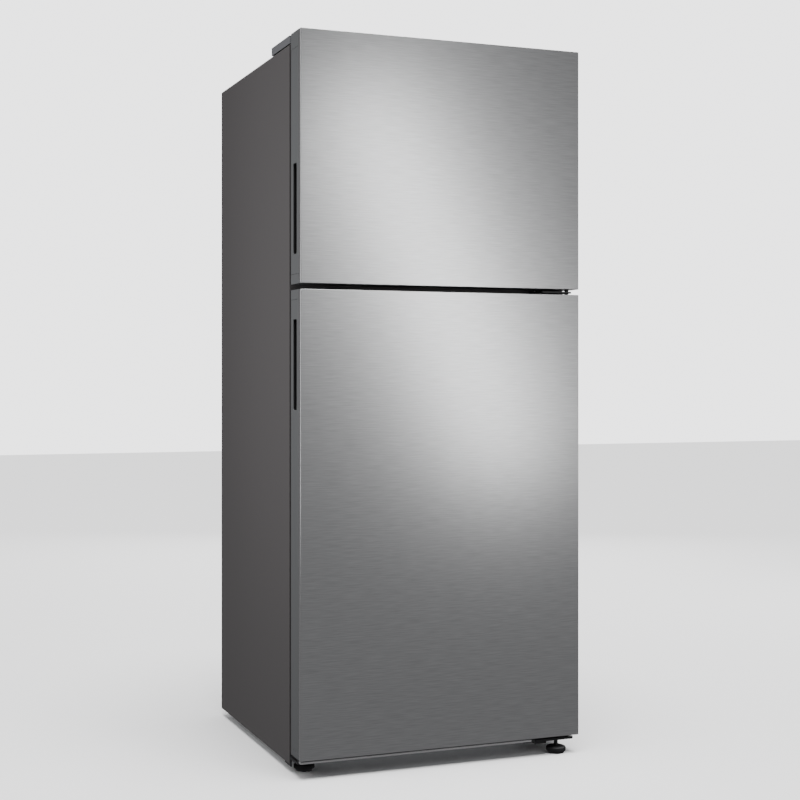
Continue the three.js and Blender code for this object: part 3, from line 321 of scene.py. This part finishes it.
# The fridge door stands on a grey moulded cap across its full width. Under it a black lip and a light
# grey strip clip to the front and show below the steel; both stop short of the hinge bracket.
strip_grey, strip_tree, strip_shader = node_material("light_grey_moulding", (0.36, 0.36, 0.365), 0.45)
grain(strip_tree, strip_shader, (800, 800, 800), 0.00003, (0.4, 0.52), None)
low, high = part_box("fridge_door_bottom_cap")
steel_low, steel_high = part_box("fridge_door_front_panel")
bracket_room = 0.125
lip_depth = 0.010
cut_x = high.x - bracket_room
cap_front = steel_high.y + 0.0003
strip_top = steel_low.z - 0.0018
strip_corners = (0.004, 0.001, 0.0005, 0.0005)
strip = block("fridge_door_strip", low, (cut_x, steel_high.y, strip_top), strip_corners)
settle(strip, strip_grey, "fridge_door", "strip_grey", "fridge_door_bottom_cap")
lip_high = (cut_x, cap_front + lip_depth, steel_low.z - 0.0004)
lip = block("fridge_door_bottom_lip", (low.x, cap_front, low.z), lip_high, 0.0005, 0.0004)
settle(lip, black_plastic, "fridge_door", "black_plastic")
cap_low = (low.x, cap_front, steel_low.z - 0.0003)
cap = block("fridge_door_bottom_moulding", cap_low, high, 0.0015)
settle(cap, door_grey, "fridge_door", "door_side_grey")


# The top cover is a grey moulding across the cabinet's front edge. It hides the top hinge, which is zinc
# plated; the other two hinges and the bracket over the left foot are coated black.
cover_grey, cover_tree, cover_shader = node_material("cover_grey_moulding", (0.158, 0.160, 0.172), 0.5)
grain(cover_tree, cover_shader, (1000, 1000, 1000), 0.00004, (0.45, 0.58), None)
keep("top_cover", cover_grey, 0.0015)
zinc, zinc_tree, zinc_shader = node_material("zinc_plate", (0.62, 0.63, 0.64), 0.35, 1.0)
zinc_tones = ((0.56, 0.57, 0.58), (0.68, 0.69, 0.70))
grain(zinc_tree, zinc_shader, (120, 120, 120), 0.00002, (0.28, 0.45), zinc_tones)
keep("top_hinge", zinc, 0.0004)
black_steel, bs_tree, bs_shader = node_material("black_coated_steel", (0.018, 0.018, 0.02), 0.42)
grain(bs_tree, bs_shader, (500, 500, 500), 0.00004, (0.35, 0.5), None)
for node in ("middle_hinge", "bottom_hinge", "leg_bracket"):
    keep(node, black_steel, 0.0006)


# Each levelling foot is a black disc with fine upright ribs for the fingers and a narrower sole, moulded
# round a threaded stud that screws into the bracket.
def round_piece(name, centre, radius, profile, axis="z", steps=9, ribs=None):
    """A profile of (radius, height) pairs turned about an axis through a centre."""
    order = {"z": (0, 1), "x": (1, 2), "y": (2, 0)}[axis]
    u, v = [centre[k] for k in order]
    profile = np.array(profile, float)
    pairs = np.stack([radius - profile[:, 0], profile[:, 1]], 1)
    across, along = (u - radius, u + radius), (v - radius, v + radius)
    return carried(name, across, along, radius, pairs, axis, steps, ribs=ribs)


for side in ("left", "right"):
    low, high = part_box(f"front_foot_{side}")
    centre = (low + high) / 2
    r = (high.x - low.x) / 2
    disc = [(0.0005, 0), (r - 0.005, 0), (r - 0.0045, 0.0035), (r - 0.0015, 0.005), (r - 0.0008, 0.0065),
            (r - 0.0008, 0.0125), (r - 0.0025, 0.0155), (r - 0.009, 0.0175), (0.0005, 0.018)]
    depth = [0, 0, 0, 0.0002, 0.0007, 0.0007, 0.0003, 0, 0]
    rib_count = 48
    foot_disc = round_piece("foot_disc", centre, r, disc, steps=73, ribs=(rib_count, depth))
    turns = np.arange(0.0175, high.z - 0.0004, 0.0005)
    stud = [(0.0005, 0.017)] + [(0.0046 if k % 2 else 0.005, z) for k, z in enumerate(turns)]
    stud += [(0.004, high.z), (0.0005, high.z)]
    foot = joined(f"levelling_foot_{side}", foot_disc, round_piece("foot_stud", centre, 0.005, stud))
    settle(foot, black_plastic, f"front_foot_{side}", "black_plastic", f"front_foot_{side}")


# The cabinet rolls on two plain black wheels at the back, on axles in the base pan's cheeks.
for side in ("left", "right"):
    low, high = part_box(f"rear_roller_{side}")
    centre = (low + high) / 2
    r = (high.z - low.z) / 2
    wheel = [(0.0032, low.x + 0.001), (0.005, low.x), (0.0065, low.x), (0.0068, low.x + 0.0015),
             (r - 0.003, low.x + 0.0015), (r - 0.0025, low.x), (r - 0.001, low.x + 0.0003),
             (r, low.x + 0.002)]
    mirror = [(radius, low.x + high.x - x) for radius, x in wheel[::-1]]
    rim = round_piece(f"rear_wheel_{side}", centre, r, wheel + mirror, "x", 13)
    settle(rim, black_plastic, f"rear_roller_{side}", "black_plastic", f"rear_roller_{side}")


# Two pan-head screws hold the middle hinge plate to the cabinet's front edge.
def screw(name, place, radius=0.0038, reach=0.0022):
    """A domed screw head on a face that looks forward, with a round recess."""
    x, y, z = place
    shape = [(radius, y), (radius, y - reach * 0.4), (radius * 0.82, y - reach * 0.85),
             (radius * 0.5, y - reach), (radius * 0.42, y - reach), (radius * 0.36, y - reach * 0.45),
             (0.0003, y - reach * 0.45)]
    return round_piece(name, place, radius, [(a, b) for a, b in shape[::-1]], "y", 5)


low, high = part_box("middle_hinge")
flange = high.y - 0.003
mid_z = (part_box("fridge_door_front_panel")[1].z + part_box("freezer_door_front_panel")[0].z) / 2
spots = [(low.x + 0.012, flange, mid_z + 0.0045), (low.x + 0.034, flange, mid_z + 0.0045)]
heads = joined("hinge_screws", *[screw("screw", spot, 0.0026, 0.0016) for spot in spots])
settle(heads, zinc, "cabinet", "hinge_steel")


# White interior: vacuum-formed liners, moulded covers and the door liners.
white, white_tree, white_shader = node_material("white_liner", (0.80, 0.815, 0.83), 0.32)
grain(white_tree, white_shader, (260, 260, 260), 0.00002, (0.28, 0.38), None)
for node in ("freezer_liner", "fridge_liner"):
    keep(node, white, 0.002, 3)
for node in ("evaporator_cover", "ice_maker_frame", "air_duct", "control_box",
             "freezer_door_liner", "fridge_door_liner"):
    keep(node, white, 0.0015, 3)


# Each shelf is a pane of toughened glass in a white moulded frame with a deep rounded front edge.
glass, glass_tree, glass_shader = node_material("shelf_glass", (0.80, 0.92, 0.90), 0.05)
glass_shader.inputs["Alpha"].default_value = 0.32
grain(glass_tree, glass_shader, (60, 60, 60), 0, (0.03, 0.08), None)
for node in ("freezer_shelf", "fridge_shelf_upper", "fridge_shelf_lower", "crisper_cover"):
    low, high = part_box(node)
    pane_z = low.z + 0.0062
    pane_high = (high.x - 0.006, high.y - 0.004, pane_z + 0.004)
    pane = block(f"{node}_pane", (low.x + 0.006, low.y + 0.012, pane_z), pane_high)
    settle(pane, glass, "cabinet", "shelf_glass", node)
    front = block(f"{node}_front", low, (high.x, low.y + 0.016, low.z + 0.016), 0.005, 0.0015, "x", 6)
    rear = block(f"{node}_rear", (low.x, high.y - 0.008, pane_z - 0.002), high, 0.002, 0.001, "x")
    left = block(f"{node}_left", (low.x, low.y + 0.012, pane_z - 0.002),
                 (low.x + 0.012, high.y - 0.004, pane_z + 0.006), 0.002, 0.001, "y")
    right = block(f"{node}_right", (high.x - 0.012, low.y + 0.012, pane_z - 0.002),
                  (high.x, high.y - 0.004, pane_z + 0.006), 0.002, 0.001, "y")
    frame_piece = joined(f"{node}_frame", front, rear, left, right)
    settle(frame_piece, white, "cabinet", "white_plastic")


# Door bins, crisper drawers and the ice bin are open trays of clear moulded plastic with round corners,
# a slight draft and a turned-out rim. The drawers have a pull along the front.
clear, clear_tree, clear_shader = node_material("clear_moulding", (0.74, 0.86, 0.90), 0.14)
clear_shader.inputs["Alpha"].default_value = 0.45
grain(clear_tree, clear_shader, (90, 90, 90), 0.00001, (0.1, 0.2), None)


def tray(name, low, high, radius, draft=0.004, rim=0.0025, wall=0.0022):
    """An open tray: a closed profile up the outside, over the rim, down the inside and across the floor."""
    z0, z1 = low[2], high[2]
    bend = 0.006
    turn = np.linspace(0, math.pi / 2, 5)
    outer = [(draft + rim + bend * (1 - math.sin(t)), z0 + bend * (1 - math.cos(t))) for t in turn]
    lip = [(rim, z1 - 0.009), (rim * 0.4, z1 - 0.0075), (0, z1 - 0.006), (0, z1 - 0.001), (0.0007, z1),
           (rim + wall - 0.0005, z1), (rim + wall, z1 - 0.0008)]
    inner = [(draft + rim + wall + bend * (1 - math.sin(t)), z0 + wall + bend * (1 - math.cos(t)))
             for t in turn[::-1]]
    section = outer + lip + inner
    return carried(name, (low[0], high[0]), (low[1], high[1]), radius, section, steps=8)


bins = {"freezer_door": ("freezer_bin_lower", "freezer_bin_upper"),
        "fridge_door": ("fridge_bin_lower", "fridge_bin_middle", "fridge_bin_upper")}
for door, names in bins.items():
    for node in names:
        low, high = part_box(node)
        bin_piece = tray(f"{node}_tray", low, high, (0.006, 0.006, 0.022, 0.022), draft=0.005)
        settle(bin_piece, clear, door, "clear_plastic", node)
for node in ("crisper_left", "crisper_right"):
    low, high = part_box(node)
    body = tray(f"{node}_tray", (low.x, low.y + 0.010, low.z), high, 0.012)
    middle = (low.x + high.x) / 2
    pull_half = 0.07
    pull = block("pull", (middle - pull_half, low.y, high.z - 0.030),
                 (middle + pull_half, low.y + 0.0125, high.z - 0.006), 0.004, 0.0015, "x")
    settle(joined(f"{node}_drawer", body, pull), clear, node, "clear_plastic", node)
low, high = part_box("ice_bin")
ice_storage = tray("ice_storage_tray", low, high, 0.009, draft=0.003)
settle(ice_storage, clear, "ice_bin", "clear_plastic", "ice_bin")


# The ice tray is one flexible moulding with two rows of seven cells, held by a stub at each end.
# The front stub carries a flat grip that twists it.
low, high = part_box("ice_tray")
x_mid = (low.x + high.x) / 2
y_ends = (low.y + 0.030, high.y - 0.010)
across = np.linspace(low.x, high.x, 57)
along = np.linspace(*y_ends, 141)
gx, gy = np.meshgrid(across, along, indexing="ij")


def cells(place, start, end, count, land):
    """How far down each point lies: 0 on the walls between cells, 1 on a cell's floor."""
    phase = (place - start - land) / (end - start - 2 * land) * count
    inside = np.abs((phase % 1) - 0.5) * 2
    edge = np.clip((0.93 - inside) / 0.38, 0, 1)
    return np.where((phase < 0) | (phase > count), 0, edge * edge * (3 - 2 * edge))


dip = cells(gx, low.x, high.x, 2, 0.004) * cells(gy, *y_ends, 7, 0.004)
tray_top = high.z - 0.002 - 0.028 * dip
tray_under = np.minimum(tray_top - 0.0015, high.z - 0.006 - 0.0275 * np.clip(dip * 1.5, 0, 1))
nx, ny = gx.shape
sheet_points = np.concatenate([
    np.stack([gx.ravel(), gy.ravel(), tray_top.ravel()], 1),
    np.stack([gx.ravel(), gy.ravel(), tray_under.ravel()], 1)])
ii, jj = np.meshgrid(np.arange(nx - 1), np.arange(ny - 1), indexing="ij")
corner = ii * ny + jj
quad = np.stack([corner, corner + ny, corner + ny + 1, corner + 1], -1).reshape(-1, 4)
border = np.concatenate([
    np.arange(nx) * ny, (nx - 1) * ny + np.arange(1, ny),
    np.arange(nx - 2, -1, -1) * ny + ny - 1, np.arange(ny - 2, 0, -1)])
after = np.roll(border, -1)
skirt = np.stack([border, border + nx * ny, after + nx * ny, after], 1)
cell_sheet = mesh_object("cell_sheet", sheet_points,
                         quad.tolist() + (quad[:, ::-1] + nx * ny).tolist() + skirt.tolist(), True)
axis_z = high.z - 0.015
spot = (x_mid, 0, axis_z)
stub_radius = 0.006
tip = 0.0003
front_y, rear_y = y_ends[0] + 0.002, y_ends[1] - 0.002
stub_front = round_piece("stub_front", spot, stub_radius, [
    (tip, low.y + 0.012), (stub_radius, low.y + 0.012), (stub_radius, front_y), (tip, front_y)], "y")
stub_rear = round_piece("stub_rear", spot, stub_radius, [
    (tip, rear_y), (stub_radius, rear_y), (stub_radius, high.y), (tip, high.y)], "y")
collar = round_piece("collar", spot, 0.015, [
    (tip, low.y + 0.0125), (0.014, low.y + 0.0125), (0.015, low.y + 0.0135),
    (0.015, low.y + 0.0205), (tip, low.y + 0.0205)], "y")
grip = block("grip", (x_mid - 0.003, low.y, axis_z - 0.015), (x_mid + 0.003, low.y + 0.013, axis_z + 0.015),
             0.002)
cube_tray = joined("ice_cube_tray", cell_sheet, stub_front, stub_rear, collar, grip)
settle(cube_tray, clear, "ice_tray", "clear_plastic", "ice_tray")


# A soft dark grey vinyl gasket runs round the back of each door: a bellows with a magnet strip in its
# face, pushed into a groove in the door liner.
gasket_grey, gasket_tree, gasket_shader = node_material("gasket_vinyl", (0.055, 0.055, 0.058), 0.6)
grain(gasket_tree, gasket_shader, (300, 300, 300), 0.00002, (0.52, 0.68), None)
for door in DOORS:
    low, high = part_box(f"{door}_gasket")
    y0, y1 = low.y, high.y
    section = [(0.0006, y0), (0.0030, y0 + 0.0030), (0.0008, y0 + 0.0052), (0, y0 + 0.0065),
               (0, y1 - 0.0012), (0.0012, y1), (0.0070, y1), (0.0080, y1 - 0.0006), (0.0090, y1),
               (0.0148, y1), (0.016, y1 - 0.0012), (0.016, y0 + 0.0065), (0.0152, y0 + 0.0052),
               (0.0130, y0 + 0.0030), (0.0154, y0)]
    seal = carried(f"{door}_seal", (low.z, high.z), (low.x, high.x), 0.017, section, "y", 7, loop=True)
    settle(seal, gasket_grey, door, "gasket_grey", f"{door}_gasket")


# The temperature knob is a small grey disc with a ribbed edge and a raised pointer.
low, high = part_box("temperature_knob")
centre = (low + high) / 2
r = (high.z - low.z) / 2
face = low.y + 0.003
dial = [(tip, face), (r - 0.0015, face), (r - 0.0004, face + 0.001), (r - 0.0003, low.y + 0.011),
        (r - 0.001, low.y + 0.012), (0.004, low.y + 0.012), (0.004, high.y), (tip, high.y)]
rib_depth = [0, 0, 0.0003, 0.0003, 0, 0, 0, 0]
disc = round_piece("dial", centre, r, dial, "y", 49, (30, rib_depth))
pointer = block("pointer", (centre.x - 0.0016, low.y, low.z + 0.001),
                (centre.x + 0.0016, face + 0.001, high.z - 0.001), 0.001, 0.0004)
knob = joined("thermostat_knob", disc, pointer)
settle(knob, cover_grey, "temperature_knob", "cover_grey", "temperature_knob")


# A clear ribbed lens under the control box covers the lamp.
lens_white, lens_tree, lens_shader = node_material("lamp_lens", (0.86, 0.87, 0.86), 0.25)
grain(lens_tree, lens_shader, (30, 900, 30), 0.0002, (0.2, 0.3), None)
low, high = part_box("control_box")
lens_high = (high.x - 0.02, high.y - 0.03, low.z + 0.001)
lens = block("lamp_lens", (low.x + 0.11, low.y + 0.03, low.z - 0.004), lens_high, 0.006, 0.0015)
settle(lens, lens_white, "cabinet", "white_plastic")


# Behind the rear cover a black compressor stands in the base pan, with its coil, fans and drain tray.
low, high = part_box("compressor")
cx, cy = low.x + 0.074, (low.y + high.y) / 2
z0 = low.z
dome = [(0.0005, z0 + 0.012), (0.050, z0 + 0.012), (0.060, z0 + 0.018), (0.065, z0 + 0.030),
        (0.0655, z0 + 0.068), (0.0675, z0 + 0.070), (0.0675, z0 + 0.075), (0.0655, z0 + 0.077),
        (0.065, z0 + 0.105), (0.060, z0 + 0.128), (0.048, z0 + 0.142), (0.030, z0 + 0.149),
        (0.0005, high.z)]
enamel, enamel_tree, enamel_shader = node_material("black_enamel", (0.012, 0.012, 0.014), 0.25)
grain(enamel_tree, enamel_shader, (200, 200, 200), 0.00003, (0.2, 0.34), None)
plate = block("plate", (cx - 0.074, cy - 0.062, z0 + 0.010), (cx + 0.074, cy + 0.062, z0 + 0.013), 0.01)
terminal_high = (high.x, cy + 0.024, z0 + 0.096)
terminal = block("terminal", (cx + 0.060, cy - 0.024, z0 + 0.040), terminal_high, 0.004)
mounts = [block("mount", (x - 0.01, y - 0.01, z0), (x + 0.01, y + 0.01, z0 + 0.010), 0.009)
          for x in (cx - 0.062, cx + 0.062) for y in (cy - 0.052, cy + 0.052)]
pump = round_piece("dome", (cx, cy, 0), 0.0675, dome, steps=13)
pump = joined("compressor_body", pump, plate, terminal, *mounts)
settle(pump, enamel, "cabinet", "compressor_enamel", "compressor")
low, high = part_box("drain_pan")
defrost_tray = tray("defrost_water_tray", low, high, 0.009)
settle(defrost_tray, black_plastic, "cabinet", "black_plastic", "drain_pan")
aluminium, alu_tree, alu_shader = node_material("bare_aluminium", (0.72, 0.73, 0.74), 0.35, 1.0)
grain(alu_tree, alu_shader, (400, 400, 30), 0.00002, (0.28, 0.42), None)
keep("evaporator", aluminium)
keep("condenser", black_steel, 0.0004)
for node in ("compressor_cover", "power_inlet", "condenser_fan", "condenser_fan_motor",
             "evaporator_fan", "evaporator_fan_motor"):
    keep(node, black_plastic, 0.0003)


# The rear panel and the underside are bare galvanised sheet; foamed insulation fills the walls.
keep("rear_panel", zinc)
keep("base_pan", zinc)
foam, foam_tree, foam_shader = node_material("rigid_foam", (0.72, 0.62, 0.38), 0.9)
foam_tones = ((0.68, 0.58, 0.34), (0.76, 0.66, 0.42))
grain(foam_tree, foam_shader, (150, 150, 150), 0.0005, (0.85, 0.95), foam_tones)
keep("cabinet_insulation", foam)
